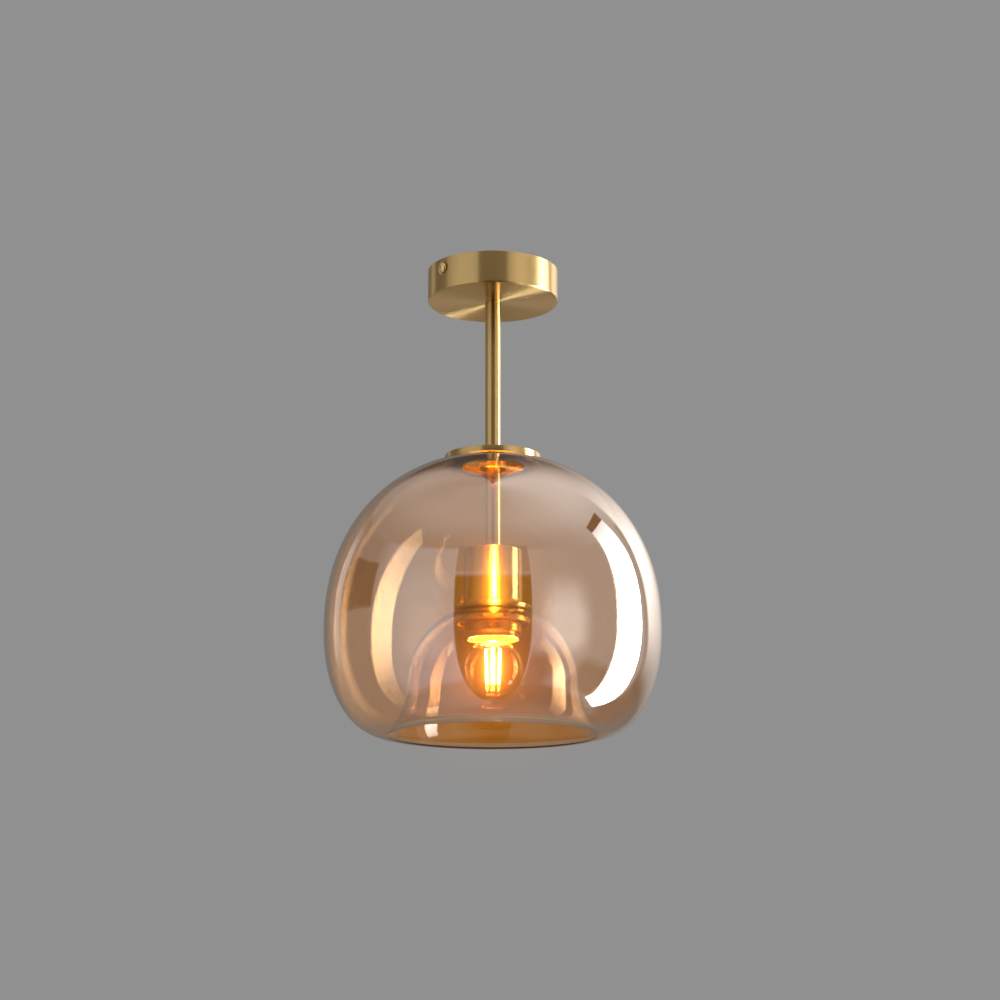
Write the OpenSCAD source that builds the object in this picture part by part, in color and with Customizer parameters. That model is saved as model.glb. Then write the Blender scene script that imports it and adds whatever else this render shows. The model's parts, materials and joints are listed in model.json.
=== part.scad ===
// Ceiling pendant light: a rod-hung blown glass bubble with a re-entrant bell round the lamp.
// Millimetres, +Z up. The origin is the middle of the ceiling face, and the light hangs to -Z.

/* [Canopy] */
// Diameter of the round ceiling canopy
canopy_d = 100; // [92:1:140]
// Height of the canopy from the ceiling to its underside
canopy_h = 25; // [23:0.5:40]
// Wall of the canopy
canopy_wall = 1.2; // [0.8:0.1:2]
// Rounding of the canopy's lower edge
canopy_edge_r = 1.4; // [0.4:0.1:3]

/* [Ceiling bracket] */
// Width of the steel crossbar
bracket_w = 18; // [14:0.5:22]
// Thickness of the crossbar
bracket_t = 2; // [1.5:0.1:2.5]
// Drop of the bent ears below the ceiling
ear_drop = 13; // [11:0.5:16]
// Gap between an ear's corners and the canopy wall
ear_gap = 0.8; // [0.3:0.1:1.5]
// Distance between the two ceiling slots
slot_pitch = 62; // [56:1:66]
// Length of a ceiling slot, end to end
slot_len = 14; // [8:0.5:16]
// Width of a ceiling slot
slot_w = 4.6; // [4:0.1:5.5]
// Hole in the crossbar for the supply cable
cable_hole_d = 10.4; // [8:0.1:14]
// Depth of the side screws' axis below the ceiling
side_screw_drop = 7.7; // [6:0.1:8.5]
// Thread diameter of the side screws
side_screw_d = 4; // [3:0.1:5]
// Diameter of the round heads of the side screws
side_head_d = 7.6; // [6:0.1:8.4]
// Height of the round heads
side_head_h = 3; // [2:0.1:4]
// Diameter of the pressed dimple that a head sits in
side_dimple_d = 10.8; // [9.8:0.1:11.6]
// Depth of the dimple
side_dimple_depth = 0.7; // [0.3:0.1:0.8]

/* [Wiring] */
// Length of the terminal block
block_l = 28; // [26:0.5:34]
// Width of the terminal block
block_w = 17; // [14:0.5:20]
// Height of the terminal block
block_h = 11; // [9:0.5:13]
// Distance between the poles of the block
pole_pitch = 9; // [8:0.5:10]
// Outer diameter of an insulated wire
wire_d = 2.2; // [1.8:0.1:2.6]

/* [Stem] */
// Outer diameter of the stem
stem_d = 12; // [11.6:0.1:15]
// Length of the stem
stem_len = 195; // [110:1:600]
// Diameter of the threaded nipples
nipple_d = 10; // [9.6:0.1:10.4]
// Wall of the nipples
nipple_wall = 1.2; // [0.9:0.1:1.5]
// Length of nipple held inside each end of the stem
nipple_hold = 12; // [8:0.5:16]
// Width of the lock nuts across their flats
nut_af = 14; // [13:0.5:17]
// Height of the lock nut in the canopy
canopy_nut_h = 4; // [3:0.5:5]
// Height of the lock nut in the lampholder cup
cup_nut_h = 3; // [2.5:0.5:4]

/* [Top cap] */
// Diameter of the cap disc on the glass
cap_d = 73; // [70:0.5:80]
// Height of the cap's side
cap_h = 4.8; // [4.4:0.1:7]
// Thickness of the cap's top
cap_roof = 1.6; // [1.2:0.1:2]
// Width of the cap's rim
cap_rim_w = 1.6; // [1:0.1:2.5]
// Outer diameter of the hub under the cap
cap_hub_d = 20; // [18:0.5:24]
// Depth of the hub below the cap's top face
cap_hub_h = 9; // [7:0.5:12]

/* [Glass] */
// Largest outer diameter of the glass
glass_d = 251.5; // [236:0.5:280]
// Wall of the blown glass
glass_wall = 2.5; // [2:0.1:3.2]
// Height of the dome's crown above the clamped plane
dome_rise = 119.2; // [100:0.2:135]
// Depth of the widest line below the clamped plane
equator_drop = 13.3; // [5:0.1:20]
// Diameter of the bottom fold, at its lowest line
fold_d = 155.7; // [148:0.1:164]
// Depth of the inner bell from the clamped plane to the fold
bell_depth = 92.1; // [86:0.1:110]
// Diameter of the inner bell at its waist
bell_d = 122; // [116:0.5:128]
// Depth of the bell's waist below the clamped plane
bell_waist = 53; // [46:0.5:58]
// Diameter of the flat crown of the bell, where it is clamped
crown_d = 48; // [46:0.5:52]
// Hole in the top of the glass, wide enough for the lampholder
top_hole_d = 60; // [59:0.5:64]
// Hole in the bell's crown
clamp_hole_d = 41.6; // [41:0.1:43]
// Fullness of the dome, where 2 is an ellipse
dome_full = 2.18; // [1.9:0.01:2.5]
// Fullness of the belly between the widest line and the fold
belly_full = 2.12; // [1.8:0.01:2.5]
// Fullness of the bell's shoulder
shoulder_full = 1.8; // [1.7:0.01:2.3]
// Fullness of the flare from the bell's waist to the fold
flare_full = 1.8; // [1.7:0.01:2.2]

/* [Seals] */
// Inner diameter of the clear seal under the cap
seal_bore_d = 47; // [44:0.5:50]
// Thickness of the black gasket under the lampholder's brim
gasket_t = 1; // [0.8:0.1:2]

/* [Lampholder] */
// Diameter of the lampholder cup
cup_d = 44; // [43.4:0.1:46]
// Height of the cup from its top to the underside of its brim
cup_h = 46.3; // [45.4:0.1:54]
// Wall of the cup
cup_wall = 1; // [0.8:0.1:1.2]
// Thickness of the cup's top plate
cup_top_t = 1.2; // [1:0.1:2]
// Diameter of the brim that presses on the gasket
brim_d = 58; // [55:0.5:59]
// Height of the brim's outer edge
brim_edge = 3.3; // [2.5:0.1:4.2]
// Rounding of the brim's lower edge
brim_round = 2.4; // [1:0.1:2.4]
// Height of the flare between the cup and its brim
brim_flare = 4.8; // [3:0.1:6]
// Outer diameter of the threaded skirt
skirt_d = 39.8; // [39.4:0.1:40.4]
// Wall of the skirt
skirt_wall = 1.1; // [1:0.05:1.3]
// Length of skirt that hangs below the clamped plane
skirt_drop = 20.5; // [18:0.1:24]
// Pitch of the skirt's outer thread
skirt_pitch = 2.5; // [2:0.1:3]
// Diameter of the ceramic insert
insert_d = 37; // [36:0.1:37.2]
// Thickness of the ceramic insert
insert_t = 10; // [8:0.5:11]
// Inner diameter of the screw shell, over its crests
shell_bore_d = 26.9; // [26.7:0.1:27.3]
// Length of the screw shell
shell_len = 27; // [22:0.5:28]
// Sheet thickness of the screw shell
shell_t = 0.4; // [0.3:0.05:0.6]
// Pitch of the lamp thread
lamp_pitch = 3.63; // [3.5:0.01:3.8]

/* [Shade ring] */
// Diameter of the ring that holds the glass from below
ring_d = 56; // [53:0.5:57]
// Height of the ring's turned-down lip
ring_lip_h = 6.5; // [4:0.1:8]
// Height of the ring's threaded collar
ring_collar_h = 14; // [10:0.5:16]
// Sheet thickness of the ring
ring_t = 1.2; // [1:0.1:1.4]

/* [Lamp] */
// Diameter of the lamp's globe
globe_d = 45; // [43:0.5:46]
// Length of the lamp from its tip to the bottom of its globe
lamp_len = 78; // [74:0.5:84]
// Length of the lamp's metal cap, tip included
lamp_cap_len = 27; // [26:0.5:28]
// Outer diameter of the lamp's thread
lamp_thread_d = 26.1; // [25.8:0.05:26.2]
// Diameter of the lamp's glass neck
lamp_neck_d = 24.6; // [24:0.1:25]
// Radius of the hollow curve between neck and globe
lamp_neck_r = 8; // [5:0.5:11]
// Wall of the lamp's glass
lamp_wall = 0.8; // [0.6:0.1:1.2]
// Number of light-giving filaments
filament_count = 4; // [2:1:6]
// Length of a filament
filament_len = 27; // [20:0.5:28]
// Diameter of a filament
filament_d = 2; // [1.4:0.1:2.4]
// Distance of the filaments from the lamp's axis
filament_ring_r = 5.2; // [4.5:0.1:6]

/* [Hidden] */

round_fn = 96;
small_fn = 48;
wire_fn = 8;
fit_gap = 0.02;
loose_gap = 0.15;
thread_gap = 0.1;

// Levels, from the ceiling down
z_canopy_floor = -canopy_h + canopy_wall;
z_stem_top = -canopy_h;
z_stem_end = z_stem_top - stem_len;
z_cup_ceiling = z_stem_end - cup_top_t;
z_brim = z_stem_end - cup_h;
z_clamp = z_brim - gasket_t;
z_clamp_under = z_clamp - glass_wall;
z_skirt_end = z_clamp - skirt_drop;

// Glass levels and radii
glass_r = glass_d / 2;
z_equator = z_clamp - equator_drop;
dome_h = dome_rise + equator_drop;
z_fold = z_clamp - bell_depth;
fold_r = fold_d / 2;
bell_r = bell_d / 2;
crown_r = crown_d / 2;
z_waist = z_clamp - bell_waist;
dome_steps = 26;
belly_steps = 18;
flare_steps = 12;
shoulder_steps = 16;

// Height of the glass dome's outer face at a radius
function dome_z(r) = z_equator + dome_h * pow(1 - pow(r / glass_r, dome_full), 1 / dome_full);

// A point on a quarter of a super-ellipse with half axes a and b
function squircle(a, b, n, t) = [a * pow(cos(t), 2 / n), b * pow(sin(t), 2 / n)];

// Evenly spaced angles from one to another
function angles(from, to, n) = [for (i = [0:n]) from + (to - from) * i / n];

// The room-side line of the glass, from the top hole round the fold to the clamp hole
top_angle = acos(pow(top_hole_d / 2 / glass_r, dome_full / 2));
glass_skin = concat(
    [for (t = angles(top_angle, 0, dome_steps))
        let (p = squircle(glass_r, dome_h, dome_full, t)) [p[0], z_equator + p[1]]],
    [for (t = angles(90 / belly_steps, 90, belly_steps - 1))
        let (p = squircle(glass_r - fold_r, z_equator - z_fold, belly_full, t))
            [fold_r + p[0], z_equator - p[1]]],
    [for (t = angles(90 - 90 / flare_steps, 0, flare_steps - 1))
        let (p = squircle(fold_r - bell_r, z_waist - z_fold, flare_full, t))
            [fold_r - p[0], z_waist - p[1]]],
    [for (t = angles(90 / shoulder_steps, 90, shoulder_steps - 1))
        let (p = squircle(bell_r - crown_r, z_clamp_under - z_waist, shoulder_full, t))
            [crown_r + p[0], z_waist + p[1]]],
    [[(crown_r + clamp_hole_d / 2) / 2, z_clamp_under], [clamp_hole_d / 2, z_clamp_under]]);

// The same line moved by a distance to the right of its direction of travel
function beside(line, d) = [for (i = [0:len(line) - 1])
    let (a = line[max(i - 1, 0)], b = line[min(i + 1, len(line) - 1)], t = (b - a) / norm(b - a))
        line[i] + d * [t[1], -t[0]]];

function reversed(list) = [for (i = [len(list) - 1:-1:0]) list[i]];

// Cap and seal levels
z_cap_seat = dome_z(cap_d / 2 - cap_rim_w) + fit_gap;
z_cap_top = z_cap_seat + cap_h;
z_cap_roof = z_cap_top - cap_roof;
grub_d = 3;
grub_drop = 6;
seal_flange_gap = 0.3;
seal_hole_gap = 0.9;
seal_drop = 5;

// Bracket places
ear_x = sqrt(pow(canopy_d / 2 - canopy_wall - ear_gap, 2) - pow(bracket_w / 2, 2));
earth_screw_x = -15;
earth_screw_d = 4;
earth_head_d = 7.6;
earth_head_h = 2.4;
side_hole_gap = 0.3;
side_shank_len = 8;
side_dimple = min(side_dimple_depth, canopy_wall - 0.3);

// Terminal block places
block_gap = 6;
block_y = nut_af / 2 + block_gap;
block_screw_d = 4.4;
barrel_entry = 3.2;
barrel_d = 4.8;
barrel_bore = 2.8;
barrel_z = z_canopy_floor + block_h / 2 - 1;
wire_end = [0, block_y + barrel_entry, barrel_z];

// Nut and nipple levels
washer_d = 19;
washer_t = 1;
nipple_proud = 1.2;
z_top_nipple = z_canopy_floor + washer_t + canopy_nut_h + nipple_proud;
z_cup_nut_end = z_cup_ceiling - cup_nut_h;
rear_boss_h = 5.5;
z_rear_top = z_cup_nut_end - fit_gap;
z_bottom_nipple = z_rear_top - rear_boss_h;

// Lampholder levels
rear_wall = 1.8;
rear_roof = 2.4;
rear_edge_r = 3;
rear_boss_d = 16;
rear_cap_len = 15.4;
z_skirt_top = z_rear_top - rear_cap_len;
skirt_bore_r = skirt_d / 2 - skirt_wall;
insert_sink = 2;
z_insert_top = z_skirt_top - insert_sink;
z_insert_end = z_insert_top - insert_t;
ledge_bore_r = 15.4;
ledge_t = 2;
contact_drop = 2.5;
contact_t = 0.5;
contact_w = 6;
contact_foot_in = 6.4;
contact_foot_out = 10.5;
contact_pad_r = 3.2;
z_lamp_tip = z_insert_end - contact_drop;
terminal_x = 9;
terminal_size = [6, 7, 5];
terminal_bore = 2.6;
terminal_screw_d = 4.6;
thread_depth = 0.5;

// Lamp levels
globe_r = globe_d / 2;
z_globe = z_lamp_tip - lamp_len + globe_r;
z_lamp_cap_end = z_lamp_tip - lamp_cap_len;
tip_r = 4.8;
board_part_h = 5;
board_gap = 1.4;
board_part_x = 3.5;
tip_h = 1.3;
z_insulator_top = z_lamp_tip - tip_h;
insulator_h = 3;
insulator_r = [6.5, 9.4];
cap_cone_h = 3;
cap_sheet = 0.35;
thread_waves = 4;
wave_steps = 8;
lamp_wave = 0.25;
z_lamp_cone = z_insulator_top - insulator_h;
z_lamp_thread = z_lamp_cone - cap_cone_h;
z_lamp_thread_end = z_lamp_thread - thread_waves * lamp_pitch;
z_neck_top = z_lamp_thread_end - 0.2;
neck_r = lamp_neck_d / 2;
neck_arc_x = neck_r + lamp_neck_r;
neck_arc_z = z_globe + sqrt(pow(globe_r + lamp_neck_r, 2) - pow(neck_arc_x, 2));
neck_arc_angle = atan2(neck_arc_z - z_globe, neck_arc_x);
mount_column_r = 2;
mount_flare_r = neck_r - lamp_wall - fit_gap;
mount_wall = 0.8;
z_mount_top = z_neck_top - 1;
z_filament_top = z_globe + filament_len / 2 + 1.5;
z_mount_end = z_filament_top - 3;
support_wire_d = 0.7;
board_t = 1.2;

// Wire routes from the terminal block, by hand in round numbers, counted from the wire's end in its barrel
live_top_route = [[-9, 0, 0], [-9, -3.6, 0], [-8.8, -5.2, 1], [-7.8, -7.4, 3.6], [-5.6, -9.4, 5.8]];
neutral_top_route = [[0, 0, 0], [0, -3.6, 0], [0.2, -5.2, 1], [0.8, -7.4, 3.4], [1.4, -9.4, 5.4]];
earth_top_route = [[9, 0, 0], [9, -3.6, 0], [8.8, -5.2, 1], [8, -7, 3.6], [6.6, -8.6, 7]];
wire_side = 1.6;
wire_seat_h = 1.2;

// Wave of a rolled thread: radius along z between two levels
function wave(r, z_from, z_to, n, depth) = [for (i = [0:n * wave_steps])
    [r - depth + depth * cos(360 * i / wave_steps), z_from + (z_to - z_from) * i / (n * wave_steps)]];

// Solid of revolution from a closed profile
module turned(profile, fn = round_fn) {
    rotate_extrude($fn = fn) polygon(profile);
}

// Straight tube hanging from z_top
module tube(d_out, d_in, z_top, h, fn = round_fn) {
    translate([0, 0, z_top - h]) difference() {
        cylinder(d = d_out, h = h, $fn = fn);
        translate([0, 0, -h]) cylinder(d = d_in, h = 3 * h, $fn = fn);
    }
}

// Hexagon nut with chamfered corners, hanging from z_top
module lock_nut(z_top, h, bore) {
    corner_d = nut_af / cos(30);
    chamfer = (corner_d - nut_af) / 2;
    translate([0, 0, z_top - h]) difference() {
        intersection() {
            cylinder(d = corner_d, h = h, $fn = 6);
            turned([[0, 0], [nut_af / 2, 0], [corner_d / 2, chamfer / 2],
                [corner_d / 2, h - chamfer / 2], [nut_af / 2, h], [0, h]], small_fn);
        }
        translate([0, 0, -1]) cylinder(d = bore, h = h + 2, $fn = small_fn);
    }
}

// Unit vector along a route at a point
function heading(route, i) = let (a = route[max(i - 1, 0)], b = route[min(i + 1, len(route) - 1)])
    (b - a) / norm(b - a);

// Ring of points round a route point, square to the heading, led by a fixed side direction
function ring_at(p, t, side, r) = let (u0 = side - (side * t) * t, u = u0 / norm(u0), v = cross(t, u))
    [for (k = [0:wire_fn - 1]) p + r * (cos(360 * k / wire_fn) * u + sin(360 * k / wire_fn) * v)];

// Round wire swept along a route
module swept_wire(route, r, side) {
    n = len(route);
    points = [for (i = [0:n - 1]) each ring_at(route[i], heading(route, i), side, r)];
    walls = [for (i = [0:n - 2], k = [0:wire_fn - 1])
        let (a = i * wire_fn + k, b = i * wire_fn + (k + 1) % wire_fn)
            each [[a, b + wire_fn, b], [a, a + wire_fn, b + wire_fn]]];
    start_cap = [for (k = [1:wire_fn - 2]) [0, k, k + 1]];
    end_at = (n - 1) * wire_fn;
    end_cap = [for (k = [1:wire_fn - 2]) [end_at, end_at + k + 1, end_at + k]];
    polyhedron(points = points, faces = concat(walls, start_cap, end_cap), convexity = 4);
}

module mounting_bracket() {
    color("lightgray") difference() {
        union() {
            translate([-ear_x, -bracket_w / 2, -bracket_t]) cube([2 * ear_x, bracket_w, bracket_t]);
            for (side = [-1, 1])
                translate([side * (ear_x - bracket_t / 2) - bracket_t / 2, -bracket_w / 2, -ear_drop])
                    cube([bracket_t, bracket_w, ear_drop]);
        }
        for (side = [-1, 1]) {
            translate([side * slot_pitch / 2, 0, -bracket_t / 2]) {
                for (end = [-1, 1])
                    translate([end * (slot_len - slot_w) / 2, 0, 0])
                        cylinder(d = slot_w, h = 2 * bracket_t, center = true, $fn = small_fn);
                cube([slot_len - slot_w, slot_w, 2 * bracket_t], center = true);
            }
            translate([side * (ear_x - bracket_t / 2), 0, -side_screw_drop]) rotate([0, 90, 0])
                cylinder(d = side_screw_d, h = 3 * bracket_t, center = true, $fn = small_fn);
        }
        translate([0, 0, -bracket_t / 2])
            cylinder(d = cable_hole_d, h = 2 * bracket_t, center = true, $fn = small_fn);
        translate([earth_screw_x, 0, -bracket_t / 2])
            cylinder(d = earth_screw_d, h = 2 * bracket_t, center = true, $fn = small_fn);
    }
}

module earth_screw() {
    shank = bracket_t;
    color("gold") translate([earth_screw_x, 0, -bracket_t]) difference() {
        union() {
            cylinder(d = earth_screw_d - 2 * fit_gap, h = shank, $fn = small_fn);
            translate([0, 0, -earth_head_h]) cylinder(d = earth_head_d, h = earth_head_h, $fn = small_fn);
        }
        translate([0, 0, -earth_head_h])
            cube([earth_head_d + 1, slot_w / 4, earth_head_h], center = true);
    }
}

module canopy() {
    r = canopy_d / 2;
    e = canopy_edge_r;
    inner_e = max(e - canopy_wall, fit_gap);
    corner_steps = 6;
    color("darkgoldenrod") difference() {
        turned(concat(
            [[0, -canopy_h]],
            [for (t = angles(-90, 0, corner_steps)) [r - e + e * cos(t), e - canopy_h + e * sin(t)]],
            [[r, 0], [r - canopy_wall, 0]],
            [for (t = angles(0, -90, corner_steps))
                [r - canopy_wall - inner_e + inner_e * cos(t), z_canopy_floor + inner_e + inner_e * sin(t)]],
            [[0, z_canopy_floor]]));
        translate([0, 0, -canopy_h - 1])
            cylinder(d = nipple_d + 2 * loose_gap, h = canopy_wall + 2, $fn = small_fn);
        for (turn = [0, 180]) rotate([0, 0, turn]) translate([r, 0, -side_screw_drop]) rotate([0, 90, 0]) {
            cylinder(d = side_screw_d + side_hole_gap, h = 8 * canopy_wall, center = true, $fn = small_fn);
            translate([0, 0, -side_dimple])
                cylinder(d1 = side_head_d + 2 * loose_gap, d2 = side_dimple_d, h = side_dimple, $fn = small_fn);
        }
    }
}

// One round-headed side screw, its head in the dimple on +X
module side_screw() {
    head_r = side_head_d / 2;
    neck = 1;
    steps = 8;
    translate([canopy_d / 2 - side_dimple + fit_gap, 0, -side_screw_drop]) rotate([0, 90, 0]) {
        turned(concat([[0, 0], [head_r * 0.8, 0]],
            [for (t = angles(0, 90, steps))
                [head_r * 0.8 + head_r * 0.2 * cos(90 - t), neck * t / 90 * 0.6]],
            [for (t = angles(0, 90, steps)) [head_r * cos(t), neck + (side_head_h - neck) * sin(t)]]),
            small_fn);
        translate([0, 0, -side_shank_len])
            cylinder(d = side_screw_d - 2 * fit_gap, h = side_shank_len, $fn = small_fn);
    }
}

module canopy_side_screws() {
    color("goldenrod") for (turn = [0, 180]) rotate([0, 0, turn]) side_screw();
}

module terminal_block() {
    pole_r = block_w * 0.24;
    web_w = pole_pitch * 0.5;
    color("whitesmoke") difference() {
        translate([-block_l / 2, block_y, z_canopy_floor]) union() {
            cube([block_l, block_w, block_h * 0.4]);
            for (k = [0:2])
                translate([block_l / 2 + (k - 1) * pole_pitch - pole_r, 0, 0])
                    cube([2 * pole_r, block_w, block_h]);
        }
        for (k = [-1:1]) translate([k * pole_pitch, 0, 0]) {
            translate([0, block_y - 1, barrel_z]) rotate([-90, 0, 0])
                cylinder(d = barrel_d + 2 * fit_gap, h = block_w + 2, $fn = small_fn);
            for (end = [-1, 1])
                translate([0, block_y + block_w / 2 + end * block_w / 4, barrel_z])
                    cylinder(d = block_screw_d, h = block_h, $fn = small_fn);
        }
        for (side = [-0.5, 0.5])
            translate([side * pole_pitch, block_y + block_w / 2, z_canopy_floor - 1])
                cylinder(d = web_w * 0.6, h = block_h, $fn = small_fn);
    }
}

module terminal_barrels() {
    color("gold") for (k = [-1:1]) translate([k * pole_pitch, block_y + 1, barrel_z]) difference() {
        rotate([-90, 0, 0]) difference() {
            cylinder(d = barrel_d, h = block_w - 2, $fn = small_fn);
            translate([0, 0, -1]) cylinder(d = barrel_bore, h = block_w, $fn = small_fn);
        }
        for (end = [-1, 1])
            translate([0, block_w / 2 - 1 + end * block_w / 4, 0])
                cylinder(d = block_screw_d - 1.4, h = barrel_d, $fn = small_fn);
    }
}

module terminal_screws() {
    screw_d = block_screw_d - 1.4 - 2 * fit_gap;
    screw_l = block_h / 2;
    color("silver") for (k = [-1:1], end = [-1, 1])
        translate([k * pole_pitch, block_y + block_w / 2 + end * block_w / 4, barrel_z + barrel_d / 2 - 1.2])
            difference() {
                cylinder(d = screw_d, h = screw_l - 1.2, $fn = small_fn);
                translate([0, 0, screw_l - 1.2]) cube([screw_d + 1, 0.6, 1.2], center = true);
            }
}

// A mains wire from a pole of the block over the nipple, down the stem and out to its terminal
module stem_wire(start, side) {
    bend = z_top_nipple + wire_d;
    low = z_bottom_nipple;
    x = side * wire_side;
    out = side * terminal_x;
    drop = low - (z_insert_top + terminal_size[2]);
    route = concat(
        [for (p = start) wire_end + p],
        [[x, 4, bend + 2.6], [x, 1.2, bend + 1.4],
            [x, 0.2, bend - 1.2], [x, 0, z_top_nipple - 3], [x, 0, (z_stem_top + z_stem_end) / 2],
            [x, 0, low + 1]],
        [[x + (out - x) * 0.12, 0, low - drop * 0.14], [x + (out - x) * 0.5, 0, low - drop * 0.42],
            [x + (out - x) * 0.88, 0, low - drop * 0.72], [out, 0, low - drop * 0.94],
            [out, 0, low - drop - wire_seat_h]]);
    swept_wire(route, wire_d / 2, [side, 0.3, 0]);
}

module live_wire() {
    color("sienna") stem_wire(live_top_route, -1);
}

module neutral_wire() {
    color("steelblue") stem_wire(neutral_top_route, 1);
}

module earth_wire() {
    under = -bracket_t - earth_head_h - wire_d / 2 - fit_gap;
    color("olivedrab") swept_wire(concat([for (p = earth_top_route) wire_end + p],
        [[4, 5, under - 2.2], [-1, 2.6, under - 0.8], [-7, 0.8, under],
            [earth_screw_x - earth_head_d / 4, 0, under]]), wire_d / 2, [0.2, 0.3, 1]);
}

module stem() {
    color("darkgoldenrod") tube(stem_d, nipple_d + 2 * fit_gap, z_stem_top, stem_len);
}

module top_nipple() {
    color("gold") tube(nipple_d, nipple_d - 2 * nipple_wall, z_top_nipple,
        z_top_nipple - z_stem_top + nipple_hold, small_fn);
}

module canopy_washer() {
    color("silver") tube(washer_d, nipple_d + 2 * loose_gap, z_canopy_floor + washer_t, washer_t, small_fn);
}

module canopy_lock_nut() {
    color("silver") lock_nut(z_canopy_floor + washer_t + canopy_nut_h, canopy_nut_h, nipple_d + 2 * fit_gap);
}

module top_cap() {
    r = cap_d / 2;
    edge = 0.6;
    steps = 4;
    bore_r = stem_d / 2 + loose_gap / 2;
    hub_r = cap_hub_d / 2;
    z_hub = z_cap_top - cap_hub_h;
    color("darkgoldenrod") difference() {
        turned(concat(
            [[bore_r, z_hub], [hub_r, z_hub], [hub_r, z_cap_roof], [r - cap_rim_w, z_cap_roof],
                [r - cap_rim_w, z_cap_seat], [r, z_cap_seat]],
            [for (t = angles(0, 90, steps)) [r - edge + edge * cos(t), z_cap_top - edge + edge * sin(t)]],
            [[bore_r, z_cap_top]]));
        translate([0, 0, z_cap_top - grub_drop]) rotate([-90, 0, 0])
            cylinder(d = grub_d + 2 * fit_gap, h = hub_r + 1, $fn = small_fn);
    }
}

module cap_grub_screw() {
    len = cap_hub_d / 2 - stem_d / 2;
    hex_d = 1.7;
    color("silver") translate([0, stem_d / 2 + fit_gap, z_cap_top - grub_drop]) rotate([-90, 0, 0])
        difference() {
            cylinder(d = grub_d, h = len, $fn = small_fn);
            translate([0, 0, len / 2]) cylinder(d = hex_d, h = len, $fn = 6);
        }
}

module top_seal() {
    hole_r = top_hole_d / 2;
    flange_z = dome_z(hole_r - glass_wall / 2) + fit_gap;
    collar_r = hole_r - seal_hole_gap;
    color("gainsboro") turned([[seal_bore_d / 2, z_cap_roof], [cap_d / 2 - cap_rim_w - seal_flange_gap, z_cap_roof],
        [cap_d / 2 - cap_rim_w - seal_flange_gap, flange_z], [collar_r, flange_z],
        [collar_r, flange_z - seal_drop], [seal_bore_d / 2, flange_z - seal_drop]]);
}

module glass_shade() {
    color("peru", 0.5) turned(concat(glass_skin, reversed(beside(glass_skin, glass_wall))));
}

module brim_gasket() {
    color("black") tube(brim_d - 2 * brim_round, skirt_d + 4 * loose_gap, z_brim, gasket_t);
}

module lampholder_cup() {
    r = cup_d / 2;
    brim_r = brim_d / 2;
    edge = 0.8;
    steps = 6;
    flare_top = z_brim + brim_edge + brim_flare;
    color("darkgoldenrod") difference() {
        turned(concat(
            [[0, z_stem_end]],
            [for (t = angles(90, 0, steps)) [r - edge + edge * cos(t), z_stem_end - edge + edge * sin(t)]],
            [for (t = angles(0, 90, 2 * steps)) [brim_r - (brim_r - r) * cos(t), flare_top - brim_flare * sin(t)]],
            [for (t = angles(0, -90, steps))
                [brim_r - brim_round + brim_round * cos(t), z_brim + brim_round + brim_round * sin(t)]],
            [[r - cup_wall, z_brim], [r - cup_wall, z_cup_ceiling], [0, z_cup_ceiling]]));
        translate([0, 0, z_cup_ceiling - 1])
            cylinder(d = nipple_d + 2 * loose_gap, h = cup_top_t + 2, $fn = small_fn);
    }
}

module bottom_nipple() {
    color("gold") tube(nipple_d, nipple_d - 2 * nipple_wall, z_stem_end + nipple_hold,
        z_stem_end + nipple_hold - z_bottom_nipple, small_fn);
}

module cup_lock_nut() {
    color("silver") lock_nut(z_cup_ceiling, cup_nut_h, nipple_d + 2 * fit_gap);
}

module holder_rear_cap() {
    r = skirt_d / 2;
    e = rear_edge_r;
    steps = 5;
    bore_r = nipple_d / 2 + fit_gap;
    z_roof = z_rear_top - rear_roof;
    color("dimgray") turned(concat(
        [[bore_r, z_rear_top]],
        [for (t = angles(90, 0, steps)) [r - e + e * cos(t), z_rear_top - e + e * sin(t)]],
        [[r, z_skirt_top], [r - rear_wall, z_skirt_top], [r - rear_wall, z_roof], [rear_boss_d / 2, z_roof],
            [rear_boss_d / 2, z_bottom_nipple], [bore_r, z_bottom_nipple]]));
}

module holder_skirt() {
    r = skirt_d / 2;
    z_thread = z_brim;
    turns = floor((z_thread - z_skirt_end - 1) / skirt_pitch);
    z_thread_end = z_thread - turns * skirt_pitch;
    color("dimgray") turned(concat(
        [[skirt_bore_r, z_skirt_end], [skirt_bore_r, z_insert_end - ledge_t],
            [ledge_bore_r, z_insert_end - ledge_t], [ledge_bore_r, z_insert_end],
            [skirt_bore_r, z_insert_end], [skirt_bore_r, z_skirt_top], [r, z_skirt_top]],
        wave(r, z_thread, z_thread_end, turns, thread_depth / 2),
        [[r, z_skirt_end]]));
}

module holder_insert() {
    r = insert_d / 2;
    edge = 0.8;
    color("ivory") turned([[0, z_insert_end], [r - edge, z_insert_end], [r, z_insert_end + edge],
        [r, z_insert_top - edge], [r - edge, z_insert_top], [0, z_insert_top]]);
}

module holder_terminals() {
    color("gold") for (side = [-1, 1])
        translate([side * terminal_x, 0, z_insert_top]) difference() {
            translate([0, 0, terminal_size[2] / 2]) cube(terminal_size, center = true);
            translate([0, 0, terminal_size[2] - wire_seat_h - 0.4])
                cylinder(d = terminal_bore, h = terminal_size[2], $fn = small_fn);
            translate([0, 0, terminal_size[2] / 2]) rotate([90, 0, 0])
                cylinder(d = terminal_screw_d / 2, h = terminal_size[1], $fn = small_fn);
        }
}

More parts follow.
